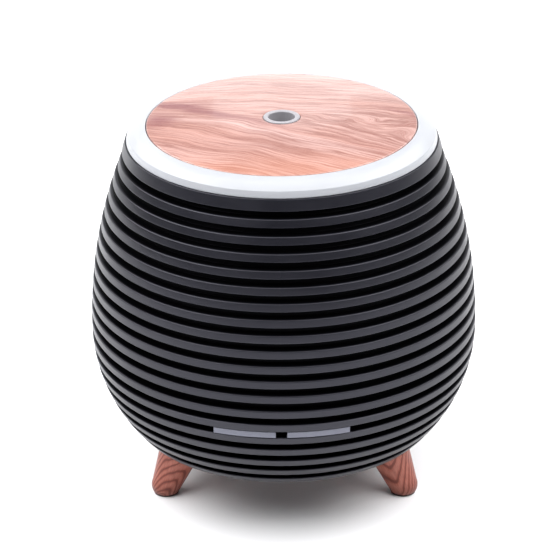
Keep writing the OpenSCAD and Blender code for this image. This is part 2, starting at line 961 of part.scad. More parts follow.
module light_button() { button(-1); }
module light_plunger() { plunger(-1); }
module light_switch() { switch_body(-1); }
module mist_button() { button(1); }
module mist_plunger() { plunger(1); }
module mist_switch() { switch_body(1); }

module button_board() {
    color("#2f6b45")
        difference() {
            translate([-board_w / 2, board_face_y, board_low_z])
                cube([board_w, board_t, board_h]);
            for (side = [-1, 1])
                along_y(
                    small_screw_r + 2 * slack, side * board_post_x,
                    board_face_y - over, board_post_z, board_t + 2 * over
                );
        }
}

module button_board_screws() {
    color("#8f9194")
        for (side = [-1, 1])
            translate([side * board_post_x, board_face_y + board_t, board_post_z])
                rotate([90, 0, 0])
                    screw_up(8, small_screw_r, small_head_r);
}

// ---- Power inlet
module power_jack() {
    color("#1b1b1e")
        difference() {
            union() {
                along_y(jack_barrel_r, 0, jack_back_y, jack_z, jack_face_y - jack_back_y);
                translate([-jack_block_w / 2, jack_back_y, jack_z - jack_block_w / 2])
                    cube([jack_block_w, jack_block_len, jack_block_w]);
            }
            along_y(jack_bore_r, 0, jack_back_y + jack_block_len / 2, jack_z, 20);
            along_y(jack_pin_r + slack, 0, jack_back_y - over, jack_z, jack_block_len);
        }
}

module jack_pin() {
    color("#c8ccd0") {
        along_y(jack_pin_r, 0, jack_back_y, jack_z, jack_pin_len);
        along_y(2 * jack_pin_r, 0, jack_back_y - 1, jack_z, 1);
    }
}

// ---- Legs
module leg(angle) {
    reach = 2 * foot_circle_r;
    round_steps = 10;
    tip = [
        for (k = [0 : round_steps])
            let (a = -90 + 90 * k / round_steps)
            [leg_tip_r * cos(a), leg_low_s + leg_tip_r * sin(a)]
    ];
    color("#8a4a33")
        difference() {
            intersection() {
                at_leg(angle)
                    rotate_extrude()
                        polygon(concat(tip, [[foot_r + leg_taper * leg_len, leg_len], [0, leg_len]]));
                translate([-reach, -reach, pad_t])
                    cube([2 * reach, 2 * reach, plate_z - pad_t]);
            }
            at_leg(angle)
                translate([0, 0, stud_low_s])
                    cylinder(r = stud_r + slack, h = leg_len);
        }
}

module foot_pad(angle) {
    rotate([0, 0, angle])
        translate([foot_circle_r - leg_low_s * sin(leg_splay), 0, 0])
            color("#2a211d")
                cylinder(r = pad_r, h = pad_t);
}

module leg_left() { leg(leg_angle_left); }
module leg_right() { leg(leg_angle_right); }
module leg_back() { leg(leg_angle_back); }
module foot_pad_left() { foot_pad(leg_angle_left); }
module foot_pad_right() { foot_pad(leg_angle_right); }
module foot_pad_back() { foot_pad(leg_angle_back); }

module leg_studs() {
    color("#9a9ca0")
        for (a = LEG_ANGLES)
            at_leg(a)
                translate([0, 0, stud_low_s + 0.5])
                    cylinder(r = stud_r, h = boss_top_s + nut_t - stud_low_s);
}

module leg_nuts() {
    color("#b08d4a")
        for (a = LEG_ANGLES)
            at_leg(a)
                translate([0, 0, boss_top_s])
                    difference() {
                        cylinder(r = nut_r, h = nut_t, $fn = 6);
                        translate([0, 0, -over])
                            cylinder(r = stud_r + slack, h = nut_t + 2 * over);
                    }
}

// ---- Internal wiring: each two-core lead ends on its own connector on the main board
module fan_leads() {
    lead([
        [17.5, -1.5, fan_top_z], [17.5, -1.5, fan_top_z + 4], [18, -7, 42], [10, -22, 46],
        [connector_x[4], lead_y, 48], [connector_x[4], lead_y, lead_z]
    ], "#b3312b");
}

module transducer_leads() {
    lead([
        [3, 0, seal_low_z + (seal_h - piezo_t) / 2], [3, 0, 43.5], [-4, -14, 43.5],
        [connector_x[3], lead_y, 48], [connector_x[3], lead_y, lead_z]
    ], "#d9d9d4");
}

module button_leads() {
    lead([
        [-6, board_face_y + board_t, 41], [-6, -42, 41], [-10, -34, 46],
        [connector_x[2], lead_y, 48], [connector_x[2], lead_y, lead_z]
    ], "#c9a23a");
}

module led_leads() {
    lead([
        [-15, -17.5, led_board_z], [-15, -17.5, 51], [-16, -21, 50],
        [connector_x[1], lead_y, 48], [connector_x[1], lead_y, lead_z]
    ], "#3b6fb0");
}

module jack_leads() {
    lead([
        [0, jack_back_y - 1, jack_z], [0, 42, jack_z], [-5, 39, 39], [-14, 34, 42], [-34, 16, 46],
        [-40, -8, 47], [-32, -23, 49], [connector_x[0], lead_y, 49],
        [connector_x[0], lead_y, lead_z]
    ], "#202024");
}

cover_shell();
light_ring();
wood_disc();
mist_nozzle();
mist_hood();
hood_screws();
base_shell();
bottom_plate();
bottom_screws();
water_tank();
tank_seal();
tank_screws();
transducer_disc();
transducer_seal();
transducer_clamp();
clamp_screws();
led_board();
leds();
led_board_screws();
main_pcb();
pcb_screws();
control_chip();
power_transistor();
heat_sink();
driver_coil();
capacitors();
lead_connectors();
fan_frame();
fan_gasket();
fan_screws();
fan_rotor();
light_button();
light_plunger();
light_switch();
mist_button();
mist_plunger();
mist_switch();
button_board();
button_board_screws();
power_jack();
jack_pin();
leg_left();
leg_right();
leg_back();
leg_studs();
leg_nuts();
foot_pad_left();
foot_pad_right();
foot_pad_back();
fan_leads();
transducer_leads();
button_leads();
led_leads();
jack_leads();
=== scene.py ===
"""Looks of an ultrasonic essential oil diffuser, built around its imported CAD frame.

Everything is in metres: +Z up, the floor at z = 0, the front with its two buttons towards -Y.
"""
import json
import math

import bmesh
import bpy
from mathutils import Matrix, Vector


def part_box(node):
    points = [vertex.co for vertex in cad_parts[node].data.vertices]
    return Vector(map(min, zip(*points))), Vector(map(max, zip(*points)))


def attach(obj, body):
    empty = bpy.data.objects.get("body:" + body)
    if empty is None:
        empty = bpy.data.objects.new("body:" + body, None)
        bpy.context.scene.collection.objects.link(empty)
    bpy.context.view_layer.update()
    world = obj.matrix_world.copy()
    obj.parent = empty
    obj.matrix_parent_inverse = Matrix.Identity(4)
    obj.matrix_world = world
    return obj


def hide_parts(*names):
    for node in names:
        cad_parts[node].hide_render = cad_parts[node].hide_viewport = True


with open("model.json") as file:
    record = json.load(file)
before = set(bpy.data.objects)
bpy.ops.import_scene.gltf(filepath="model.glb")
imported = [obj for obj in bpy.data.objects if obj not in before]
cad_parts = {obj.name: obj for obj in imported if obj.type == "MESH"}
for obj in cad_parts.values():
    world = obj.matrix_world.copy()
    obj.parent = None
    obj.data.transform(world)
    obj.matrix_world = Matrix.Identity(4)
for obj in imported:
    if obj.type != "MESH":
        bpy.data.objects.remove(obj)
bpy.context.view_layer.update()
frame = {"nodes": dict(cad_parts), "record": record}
NODES = frame["nodes"]
SLOTS = {m["slot"]: m for m in frame["record"]["materials"]}
NODE_SLOT = {s["node"]: s["material_slot"] for s in frame["record"]["subparts"]}
MM = 0.001
SEGMENTS = 256

# ---------------------------------------------------------------- body outline
COVER_LOW, COVER_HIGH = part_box("cover_shell")
BASE_LOW, BASE_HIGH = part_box("base_shell")
RING_LOW, RING_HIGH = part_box("light_ring")
DISC_LOW, DISC_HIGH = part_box("wood_disc")
NOZZLE_LOW, NOZZLE_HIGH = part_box("mist_nozzle")
PART_Z = COVER_LOW.z
BODY_R = COVER_HIGH.x
BELLY_Z = 57 * MM
UPPER_ARC_R = 163 * MM
LOWER_ARC_R = 51.5 * MM
TOP_RIB_Z = 117.1 * MM
RIB_PITCH = 5.15 * MM
RIB_H = 2.65 * MM
GROOVE_DEPTH = 3 * MM
WALL = 2.2 * MM
PARTING_GAP = 0.3 * MM
COVER_RIBS = 12
BASE_RIBS = 7
RIB_FILLET = 0.42 * MM
GROOVE_FILLET = 0.25 * MM
LIP_FILLET = 0.15 * MM


def body_r(z):
    """Radius of the body's smooth outline at a height."""
    arc = UPPER_ARC_R if z > BELLY_Z else LOWER_ARC_R
    return BODY_R - arc + math.sqrt(arc * arc - (z - BELLY_Z) ** 2)


def rib_top(i):
    """Height of a rib's upper edge. Rib 0 is the cover's top one, and the base's follow."""
    return TOP_RIB_Z - i * RIB_PITCH - (0 if i < COVER_RIBS else PARTING_GAP)


def rib_outline(i):
    """One rib from its lower groove corner to its upper one, as (point, fillet) pairs."""
    top, low = rib_top(i), rib_top(i) - RIB_H
    return [
        ((body_r(low) - GROOVE_DEPTH, low), GROOVE_FILLET),
        ((body_r(low), low), RIB_FILLET),
        ((body_r(top), top), RIB_FILLET),
        ((body_r(top) - GROOVE_DEPTH, top), GROOVE_FILLET),
    ]


def inner_wall(z_from, z_to, steps):
    """Inside of the shell between two heights: the outline, set in by the grooves and the wall."""
    depth = GROOVE_DEPTH + WALL
    heights = [z_from + (z_to - z_from) * k / steps for k in range(steps + 1)]
    return [((body_r(z) - depth, z), 0) for z in heights]


# ---------------------------------------------------------------- mesh helpers
TINY = 1e-7
SHARP_ANGLE = math.radians(38)
STRAIGHT_HALF_ANGLE = math.radians(80)
FILLET_REACH = 0.45


def link(name, mesh):
    """A new object with this mesh, in the scene."""
    obj = bpy.data.objects.new(name, mesh)
    bpy.context.scene.collection.objects.link(obj)
    return obj


def fillet(corners, steps=3):
    """Rounds a closed outline of ((x, y), radius) corners and returns its points."""
    points = []
    for i, (here, radius) in enumerate(corners):
        p = Vector(here)
        a = Vector(corners[i - 1][0]) - p
        b = Vector(corners[(i + 1) % len(corners)][0]) - p
        if radius <= 0 or a.length < TINY or b.length < TINY:
            points.append(p)
            continue
        half = a.angle(b) / 2
        if half > STRAIGHT_HALF_ANGLE:
            points.append(p)
            continue
        reach = min(radius / math.tan(half), FILLET_REACH * a.length, FILLET_REACH * b.length)
        start, end = p + a.normalized() * reach, p + b.normalized() * reach
        for k in range(steps + 1):
            t = k / steps
            points.append(start * (1 - t) ** 2 + p * 2 * t * (1 - t) + end * t ** 2)
    return points


def finish_mesh(obj):
    """Smooth shading with sharp edges kept, and normals that stay flat on flat faces."""
    mesh = obj.data
    mesh.polygons.foreach_set("use_smooth", [True] * len(mesh.polygons))
    mesh.set_sharp_from_angle(angle=SHARP_ANGLE)
    mod = obj.modifiers.new("even_normals", "WEIGHTED_NORMAL")
    mod.keep_sharp = True
    return obj


def revolve(name, outline, segments=SEGMENTS, closed=True):
    """Turns an outline of (radius, height) points about Z. Radius 0 becomes a pole."""
    bm = bmesh.new()
    rings = []
    for r, z in outline:
        if r < TINY:
            rings.append([bm.verts.new((0, 0, z))])
            continue
        turns = [2 * math.pi * k / segments for k in range(segments)]
        rings.append([bm.verts.new((r * math.cos(a), r * math.sin(a), z)) for a in turns])
    pairs = list(zip(rings, rings[1:]))
    if closed:
        pairs.append((rings[-1], rings[0]))
    for low, high in pairs:
        for k in range(segments):
            j = (k + 1) % segments
            corners = [low[k % len(low)], low[j % len(low)], high[j % len(high)], high[k % len(high)]]
            unique = list(dict.fromkeys(corners))
            if len(unique) > 2:
                bm.faces.new(unique)
    bmesh.ops.recalc_face_normals(bm, faces=bm.faces)
    mesh = bpy.data.meshes.new(name)
    bm.to_mesh(mesh)
    bm.free()
    return link(name, mesh)


def solid(name, make):
    """An object from a function that fills a bmesh."""
    bm = bmesh.new()
    make(bm)
    bmesh.ops.recalc_face_normals(bm, faces=bm.faces)
    mesh = bpy.data.meshes.new(name)
    bm.to_mesh(mesh)
    bm.free()
    return link(name, mesh)


def block(name, low, high):
    """A box between two corners, used as a cutting tool."""
    def make(bm):
        bmesh.ops.create_cube(bm, size=1)
        size = Vector(high) - Vector(low)
        middle = (Vector(high) + Vector(low)) / 2
        place = Matrix.Translation(middle) @ Matrix.Diagonal((*size, 1))
        bmesh.ops.transform(bm, verts=bm.verts, matrix=place)
    return solid(name, make)


def rod(name, start, end, radius, sides=48):
    """A closed round rod between two points."""
    start, end = Vector(start), Vector(end)
    run = end - start

    def make(bm):
        bmesh.ops.create_cone(
            bm, cap_ends=True, segments=sides, radius1=radius, radius2=radius, depth=run.length
        )
        turn = run.to_track_quat("Z", "Y").to_matrix().to_4x4()
        bmesh.ops.transform(bm, verts=bm.verts, matrix=Matrix.Translation((start + end) / 2) @ turn)
    return solid(name, make)


def cut(obj, tools, operation="DIFFERENCE"):
    """Booleans obj with each tool and bakes the result into its mesh. The tools are removed."""
    for tool in tools:
        mod = obj.modifiers.new("cut", "BOOLEAN")
        mod.operation = operation
        mod.solver = "EXACT"
        mod.object = tool
        graph = bpy.context.evaluated_depsgraph_get()
        baked = bpy.data.meshes.new_from_object(
            obj.evaluated_get(graph), preserve_all_data_layers=True, depsgraph=graph
        )
        obj.modifiers.clear()
        obj.data = baked
        bpy.data.objects.remove(tool)
    return obj


def dress(obj, body, slot, *nodes):
    """Gives a rebuilt piece its body, slot, material and the CAD nodes it stands for."""
    obj.data.materials.clear()
    obj.data.materials.append(MATERIALS[slot])
    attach(obj, body)
    if nodes:
        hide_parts(*nodes)
    return obj


# ---------------------------------------------------------------- shader helpers
MIX_COLOR_A, MIX_COLOR_B, MIX_COLOR_OUT = 6, 7, 2


class Shader:
    """A node material, with short calls for the nodes that the surfaces here need."""

    def __init__(self, name, color, rough, metallic=0.0):
        self.mat = bpy.data.materials.new(name)
        self.mat.use_nodes = True
        self.tree = self.mat.node_tree
        self.bsdf = self.tree.nodes["Principled BSDF"]
        self.put("Base Color", (*color, 1))
        self.put("Roughness", rough)
        self.put("Metallic", metallic)
        self.coords = self.node("ShaderNodeTexCoord").outputs["Object"]

    def put(self, socket, value):
        self.bsdf.inputs[socket].default_value = value

    def node(self, kind, **settings):
        n = self.tree.nodes.new(kind)
        for key, value in settings.items():
            setattr(n, key, value)
        return n

    def wire(self, value, socket):
        if isinstance(value, bpy.types.NodeSocket):
            self.tree.links.new(value, socket)
        elif value is not None:
            socket.default_value = value

    def math(self, operation, a, b=None, clamp=False):
        n = self.node("ShaderNodeMath", operation=operation, use_clamp=clamp)
        self.wire(a, n.inputs[0])
        self.wire(b, n.inputs[1])
        return n.outputs[0]

    def stretch(self, scale):
        """The coordinates multiplied by a scale per axis, in steps per metre."""
        n = self.node("ShaderNodeVectorMath", operation="MULTIPLY")
        self.wire(self.coords, n.inputs[0])
        n.inputs[1].default_value = scale
        return n.outputs[0]

    def noise(self, vector, detail=2.0, rough=0.5):
        n = self.node("ShaderNodeTexNoise")
        self.wire(vector, n.inputs["Vector"])
        n.inputs["Scale"].default_value = 1
        n.inputs["Detail"].default_value = detail
        n.inputs["Roughness"].default_value = rough
        return n.outputs["Fac"]

    def remap(self, value, low, high, to_low=0.0, to_high=1.0, smooth=False):
        n = self.node("ShaderNodeMapRange", clamp=True)
        if smooth:
            n.interpolation_type = "SMOOTHSTEP"
        self.wire(value, n.inputs["Value"])
        for key, v in (("From Min", low), ("From Max", high), ("To Min", to_low), ("To Max", to_high)):
            self.wire(v, n.inputs[key])
        return n.outputs["Result"]

    def mix(self, fac, a, b):
        n = self.node("ShaderNodeMix", data_type="RGBA")
        self.wire(fac, n.inputs["Factor"])
        for value, index in ((a, MIX_COLOR_A), (b, MIX_COLOR_B)):
            value = (*value, 1) if isinstance(value, tuple) else value
            self.wire(value, n.inputs[index])
        return n.outputs[MIX_COLOR_OUT]

    def axis(self, name):
        n = self.node("ShaderNodeSeparateXYZ")
        self.wire(self.coords, n.inputs[0])
        return n.outputs[name]

    def length(self, a, b):
        """Distance from the origin of a plane, from its two coordinates."""
        total = self.math("ADD", self.math("MULTIPLY", a, a), self.math("MULTIPLY", b, b))
        return self.math("SQRT", total)

    def bump(self, height, distance):
        n = self.node("ShaderNodeBump")
        n.inputs["Strength"].default_value = 1
        n.inputs["Distance"].default_value = distance
        self.wire(height, n.inputs["Height"])
        self.wire(n.outputs["Normal"], self.bsdf.inputs["Normal"])


def shade(color, factor):
    """A darker or lighter version of a colour."""
    return tuple(c * factor for c in color)


def slot_color(slot):
    """The colour that the record gives a material slot."""
    return tuple(SLOTS[slot]["base_color"][:3])


def plastic(slot, rough=0.45, grain=6000.0, depth=0.02, tone=0.08, color=None, coat=0.0):
    """Moulded plastic or rubber: fine surface texture, faint tone and gloss variation."""
    color = color or slot_color(slot)
    s = Shader(slot, color, rough)
    fine = s.noise(s.stretch((grain, grain, grain)), detail=1.5)
    broad = s.noise(s.stretch((45.0, 45.0, 45.0)), detail=3.0)
    s.wire(s.mix(broad, shade(color, 1 - tone), shade(color, 1 + tone)), s.bsdf.inputs["Base Color"])
    s.wire(s.remap(broad, 0.3, 0.7, rough - 0.04, rough + 0.05), s.bsdf.inputs["Roughness"])
    s.put("Coat Weight", coat)
    s.bump(fine, depth * MM)
    return s.mat


def metal(slot, rough=0.3, stretch=(9000.0, 9000.0, 300.0)):
    """Bright metal with fine drawn lines and a slightly uneven polish."""
    color = slot_color(slot)
    s = Shader(slot, color, rough, metallic=1.0)
    lines = s.noise(s.stretch(stretch), detail=2.0)
    dull = s.noise(s.stretch((180.0, 180.0, 180.0)), detail=3.0)
    s.wire(s.mix(dull, shade(color, 0.8), shade(color, 1.1)), s.bsdf.inputs["Base Color"])
    s.wire(s.remap(dull, 0.3, 0.7, rough - 0.06, rough + 0.12), s.bsdf.inputs["Roughness"])
    s.bump(lines, 0.004 * MM)
    return s.mat


def circuit_board(slot):
    """Solder mask over copper tracks: a lighter maze of lines under a glossy film."""
    color = slot_color(slot)
    s = Shader(slot, color, 0.32)
    cells = s.node("ShaderNodeTexVoronoi", feature="DISTANCE_TO_EDGE", distance="MANHATTAN")
    s.wire(s.stretch((420.0, 420.0, 420.0)), cells.inputs["Vector"])
    cells.inputs["Scale"].default_value = 1
    cells.inputs["Randomness"].default_value = 0.6
    track = s.remap(cells.outputs["Distance"], 0.05, 0.09, 1.0, 0.0)
    s.wire(s.mix(track, shade(color, 0.85), shade(color, 1.6)), s.bsdf.inputs["Base Color"])
    s.bump(track, 0.03 * MM)
    return s.mat


# ---------------------------------------------------------------- main materials
def black_shell():
    """Satin black moulded plastic: fine spark texture, a mould line, and painted shade in the grooves,
    where the colour darkens and the reflection weakens.
    """
    s = Shader("black_shell", (0.004, 0.004, 0.006), 0.36)
    s.put("Specular Tint", (0.86, 0.86, 1.0, 1))
    x, y, z = s.axis("X"), s.axis("Y"), s.axis("Z")
    rise = s.math("SUBTRACT", z, BELLY_Z)
    above = s.math("GREATER_THAN", rise, 0.0)
    arc = s.math("ADD", s.math("MULTIPLY", above, UPPER_ARC_R - LOWER_ARC_R), LOWER_ARC_R)
    reach = s.math("SUBTRACT", s.math("MULTIPLY", arc, arc), s.math("MULTIPLY", rise, rise))
    outline = s.math("ADD", s.math("SUBTRACT", s.math("SQRT", reach), arc), BODY_R)
    far = s.length(x, y)
    # Painted shade: this groove mask darkens the colour and weakens the reflection inside the grooves,
    # where the ribs above shade them.
    groove = s.remap(s.math("SUBTRACT", outline, far), 0.25 * MM, 1.1 * MM, 0.0, 1.0, smooth=True)
    spark = s.noise(s.stretch((5200.0, 5200.0, 5200.0)), detail=2.0, rough=0.6)
    broad = s.noise(s.stretch((60.0, 60.0, 60.0)), detail=4.0)
    face = s.mix(broad, (0.0036, 0.0036, 0.0058), (0.0058, 0.0058, 0.0086))
    s.wire(s.mix(groove, face, (0.0012, 0.0012, 0.0016)), s.bsdf.inputs["Base Color"])
    s.wire(s.remap(groove, 0.0, 1.0, 0.46, 0.06), s.bsdf.inputs["Specular IOR Level"])
    s.wire(s.remap(broad, 0.3, 0.7, 0.33, 0.42), s.bsdf.inputs["Roughness"])
    seam = s.remap(s.math("ABSOLUTE", x), 0.06 * MM, 0.16 * MM, 1.0, 0.0, smooth=True)
    height = s.math("ADD", s.math("MULTIPLY", spark, 0.35), seam)
    s.bump(height, 0.03 * MM)
    return s.mat


def white_ring():
    """Milky translucent plastic, smooth, a little light going through."""
    s = Shader("white_ring", (0.345, 0.355, 0.38), 0.34)
    s.put("Subsurface Weight", 0.25)
    s.put("Subsurface Radius", (1.0, 0.95, 0.9))
    s.put("Subsurface Scale", 2.5 * MM)
    fine = s.noise(s.stretch((3500.0, 3500.0, 3500.0)), detail=1.0)
    broad = s.noise(s.stretch((35.0, 35.0, 35.0)), detail=2.0)
    s.wire(s.mix(broad, (0.335, 0.345, 0.37), (0.355, 0.365, 0.39)), s.bsdf.inputs["Base Color"])
    s.wire(s.remap(broad, 0.3, 0.7, 0.30, 0.38), s.bsdf.inputs["Roughness"])
    s.bump(fine, 0.006 * MM)
    return s.mat


def disc_wood():
    """Glossy pink cedar face: grain that dips to the right in the near half, a knot and streaks."""
    s = Shader("disc_wood", (0.5, 0.3, 0.26), 0.28)
    s.put("Coat Weight", 0.55)
    s.put("Coat Roughness", 0.06)
    x, y = s.axis("X"), s.axis("Y")
    drift = s.noise(s.stretch((22.0, 30.0, 0.0)), detail=2.0)
    wave = s.noise(s.stretch((55.0, 90.0, 0.0)), detail=2.0)
    # Height above the centre line, warped so that the grain sinks to the right in the near half
    depth = s.math("ADD", y, s.math("MULTIPLY", x, 0.25))
    slope = s.remap(depth, 16 * MM, -14 * MM, 0.08, 0.5, smooth=True)
    flow = s.math("ADD", y, s.math("MULTIPLY", x, slope))
    flow = s.math("ADD", flow, s.math("MULTIPLY", drift, 14 * MM))
    flow = s.math("ADD", flow, s.math("MULTIPLY", wave, 3.5 * MM))

    def lay(along, across):
        """Coordinates that run with the grain."""
        n = s.node("ShaderNodeCombineXYZ")
        s.wire(s.math("MULTIPLY", x, along), n.inputs[0])
        s.wire(s.math("MULTIPLY", flow, across), n.inputs[1])
        return n.outputs[0]

    grain = s.noise(lay(14.0, 330.0), detail=5.0, rough=0.6)
    fine = s.noise(lay(20.0, 620.0), detail=3.0, rough=0.55)
    fibre = s.noise(lay(90.0, 2600.0), detail=3.0, rough=0.7)
    broad = s.noise(lay(9.0, 95.0), detail=2.0)

    def streak(slope, offset, half_width, fade_from, fade_to):
        """A dark band along a line, fading out between two places along X."""
        line = s.math("SUBTRACT", s.math("SUBTRACT", y, s.math("MULTIPLY", x, slope)), offset)
        wobble = s.math("MULTIPLY", s.math("SUBTRACT", wave, 0.5), 9 * MM)
        far = s.math("ABSOLUTE", s.math("ADD", line, wobble))
        body = s.remap(far, 0.0, half_width, 1.0, 0.0, smooth=True)
        return s.math("MULTIPLY", body, s.remap(x, fade_from, fade_to, 1.0, 0.0, smooth=True))

    main = streak(-0.6, -8 * MM, 5.5 * MM, -30 * MM, 12 * MM)
    right = streak(-0.5, 27 * MM, 3 * MM, 45 * MM, 27 * MM)
    left = streak(-0.15, 10 * MM, 6 * MM, -42 * MM, -14 * MM)
    dark = s.math("ADD", s.math("ADD", main, right), s.math("MULTIPLY", left, 0.7))
    knot = s.node("ShaderNodeVectorMath", operation="DISTANCE")
    s.wire(s.coords, knot.inputs[0])
    knot.inputs[1].default_value = (-41 * MM, 1 * MM, DISC_HIGH.z)
    eye = s.math("ADD", knot.outputs["Value"], s.math("MULTIPLY", wave, 4 * MM))
    dark = s.math("ADD", dark, s.remap(eye, 2 * MM, 12 * MM, 1.0, 0.0, smooth=True), clamp=True)
    base = s.mix(s.remap(broad, 0.35, 0.65), (0.41, 0.225, 0.19), (0.45, 0.29, 0.265))
    thin = s.remap(s.math("ABSOLUTE", s.math("SUBTRACT", grain, 0.5)), 0.0, 0.06, 0.9, 0.0)
    hair = s.remap(s.math("ABSOLUTE", s.math("SUBTRACT", fine, 0.5)), 0.0, 0.06, 0.5, 0.0)
    base = s.mix(s.math("MAXIMUM", thin, hair), base, (0.20, 0.085, 0.07))
    base = s.mix(s.remap(fibre, 0.35, 0.65, 0.22, 0.0), base, (0.26, 0.10, 0.08))
    stain = s.math("MULTIPLY", dark, s.remap(grain, 0.35, 0.65, 0.95, 0.5))
    base = s.mix(stain, base, (0.17, 0.052, 0.058))
    warm = s.remap(y, -22 * MM, -42 * MM, 0.0, 0.4, smooth=True)
    base = s.mix(warm, base, (0.46, 0.20, 0.13))
    s.wire(base, s.bsdf.inputs["Base Color"])
    s.wire(s.remap(fibre, 0.3, 0.7, 0.24, 0.34), s.bsdf.inputs["Roughness"])
    s.bump(fibre, 0.008 * MM)
    return s.mat


def leg_wood():
    """Varnished reddish-brown wood, with nested arches of grain up the leg's own axis, painted light that
    lightens it higher up, and painted shade at the tip.
    """
    s = Shader("leg_wood", (0.30, 0.08, 0.05), 0.45)
    s.put("Specular IOR Level", 0.3)
    s.put("Coat Weight", 0.12)
    s.put("Coat Roughness", 0.25)
    warp = s.noise(s.stretch((110.0, 110.0, 28.0)), detail=2.0)
    x, y, z = s.axis("X"), s.axis("Y"), s.axis("Z")
    # Growth rings of a trunk whose pith crosses the leg at a small angle show as long arches
    lean = s.math("ADD", x, s.math("MULTIPLY", s.math("SUBTRACT", z, 12 * MM), 0.11))
    side = s.math("SUBTRACT", y, 3 * MM)
    far = s.length(lean, side)
    rings = s.math("ADD", s.math("MULTIPLY", far, 1150.0), s.math("MULTIPLY", warp, 3.2))
    turns = s.math("SINE", s.math("MULTIPLY", rings, 2 * math.pi))
    wave = s.math("ADD", s.math("MULTIPLY", turns, 0.5), 0.5)
    fibre = s.noise(s.stretch((2600.0, 2600.0, 140.0)), detail=3.0, rough=0.7)
    broad = s.noise(s.stretch((120.0, 120.0, 30.0)), detail=2.0)
    base = s.mix(s.remap(broad, 0.3, 0.7), (0.25, 0.055, 0.032), (0.38, 0.105, 0.068))
    # Painted light: the leg is lightened higher up, against the shade that the body casts there.
    base = s.mix(s.remap(z, 8 * MM, 22 * MM, 0.0, 0.6, smooth=True), base, (0.62, 0.21, 0.16))
    base = s.mix(s.remap(wave, 0.25, 0.95, 0.0, 0.7, smooth=True), base, (0.44, 0.155, 0.11))
    base = s.mix(s.remap(wave, 0.0, 0.3, 0.75, 0.0, smooth=True), base, (0.11, 0.02, 0.013))
    base = s.mix(s.remap(fibre, 0.35, 0.62, 0.4, 0.0), base, (0.10, 0.02, 0.013))
    # Painted shade: the rounded tip is darkened near the floor.
    base = s.mix(s.remap(z, -2 * MM, 6 * MM, 0.55, 0.0, smooth=True), base, (0.06, 0.013, 0.009))
    s.wire(base, s.bsdf.inputs["Base Color"])
    s.wire(s.remap(fibre, 0.3, 0.7, 0.34, 0.46), s.bsdf.inputs["Roughness"])
    s.bump(s.math("ADD", fibre, s.math("MULTIPLY", wave, 0.4)), 0.012 * MM)
    return s.mat


def piezo():
    """Silvered electrode on cream ceramic: a bright disc inside a plain rim."""
    s = Shader("piezo_ceramic", slot_color("piezo_ceramic"), 0.4)
    x, y = s.axis("X"), s.axis("Y")
    far = s.length(x, y)
    silver = s.remap(far, 8.2 * MM, 8.35 * MM, 1.0, 0.0)
    s.wire(s.mix(silver, slot_color("piezo_ceramic"), (0.75, 0.75, 0.74)), s.bsdf.inputs["Base Color"])
    s.wire(silver, s.bsdf.inputs["Metallic"])
    s.bump(s.noise(s.stretch((2500.0, 2500.0, 2500.0))), 0.01 * MM)
    return s.mat


def make_materials():
    """One material per slot of the record, the plain ones in moulded plastic."""
    made = {
        "black_shell": black_shell(),
        "white_ring": white_ring(),
        "disc_wood": disc_wood(),
        "leg_wood": leg_wood(),
        "piezo_ceramic": piezo(),
        "grommet": plastic("grommet", rough=0.3, grain=4000.0, depth=0.01, color=(0.27, 0.26, 0.28)),
        "white_inner": plastic(
            "white_inner", rough=0.35, grain=2500.0, depth=0.01, tone=0.03, color=(0.33, 0.34, 0.35)
        ),
        "black_plate": plastic("black_plate", rough=0.55, depth=0.04),
        "button_grey": plastic(
            "button_grey", rough=0.36, grain=4500.0, depth=0.01, tone=0.03, color=(0.13, 0.135, 0.175)
        ),
        "foot_rubber": plastic("foot_rubber", rough=0.75, grain=3000.0, depth=0.05),
        "seal_rubber": plastic("seal_rubber", rough=0.7, grain=3000.0, depth=0.04),
        "clear_rubber": plastic("clear_rubber", rough=0.4, grain=3000.0, depth=0.02),
        "board_green": circuit_board("board_green"),
        "board_white": circuit_board("board_white"),
        "led_lens": plastic("led_lens", rough=0.15, coat=0.6),
        "screw_steel": metal("screw_steel"),
        "heat_aluminium": metal("heat_aluminium", rough=0.38),
        "pin_nickel": metal("pin_nickel", rough=0.18),
        "nut_brass": metal("nut_brass", rough=0.35),
        "coil_copper": metal("coil_copper", rough=0.3, stretch=(200.0, 200.0, 4500.0)),
    }
    for slot in SLOTS:
        if slot not in made:
            made[slot] = plastic(slot)
    return made


MATERIALS = make_materials()


# ---------------------------------------------------------------- cover pieces
DISC_RISE = 1.9 * MM
BAND_R = 53 * MM
BAND_TOP_R = 51.8 * MM
BAND_LOW_Z = TOP_RIB_Z + 2.4 * MM
ROOF_T = 2.4 * MM
SPIGOT_R = 43.6 * MM
SPIGOT_WALL = 2 * MM
RING_SPIGOT_Z = COVER_HIGH.z - 3.4 * MM
RING_INSET = 0.4 * MM
RING_FLANK_H = 2.4 * MM
RING_FLANK_LEAN = 0.5 * MM
RING_BOW = 0.35 * MM
DISC_GAP = 0.25 * MM
HOOD_SCREW_R = 24 * MM
HOOD_SCREW_ANGLES = [math.radians(30 + 120 * k) for k in range(3)]
BOSS_R = 3.2 * MM
BOSS_BORE_R = 1.5 * MM
NOZZLE_RIDGE_R = 5.3 * MM
NOZZLE_BORE_R = 4.35 * MM
NOZZLE_FLANGE_T = 0.9 * MM
FIT = 0.05 * MM


def dome_drop(r, dome_r):
    """How far a dome has dropped from its top at a distance from its axis."""
    return dome_r - math.sqrt(dome_r * dome_r - r * r)


def disc_dome_r():
    """Radius of the sphere that the disc's face is part of."""
    return (DISC_HIGH.x ** 2 + DISC_RISE ** 2) / (2 * DISC_RISE)


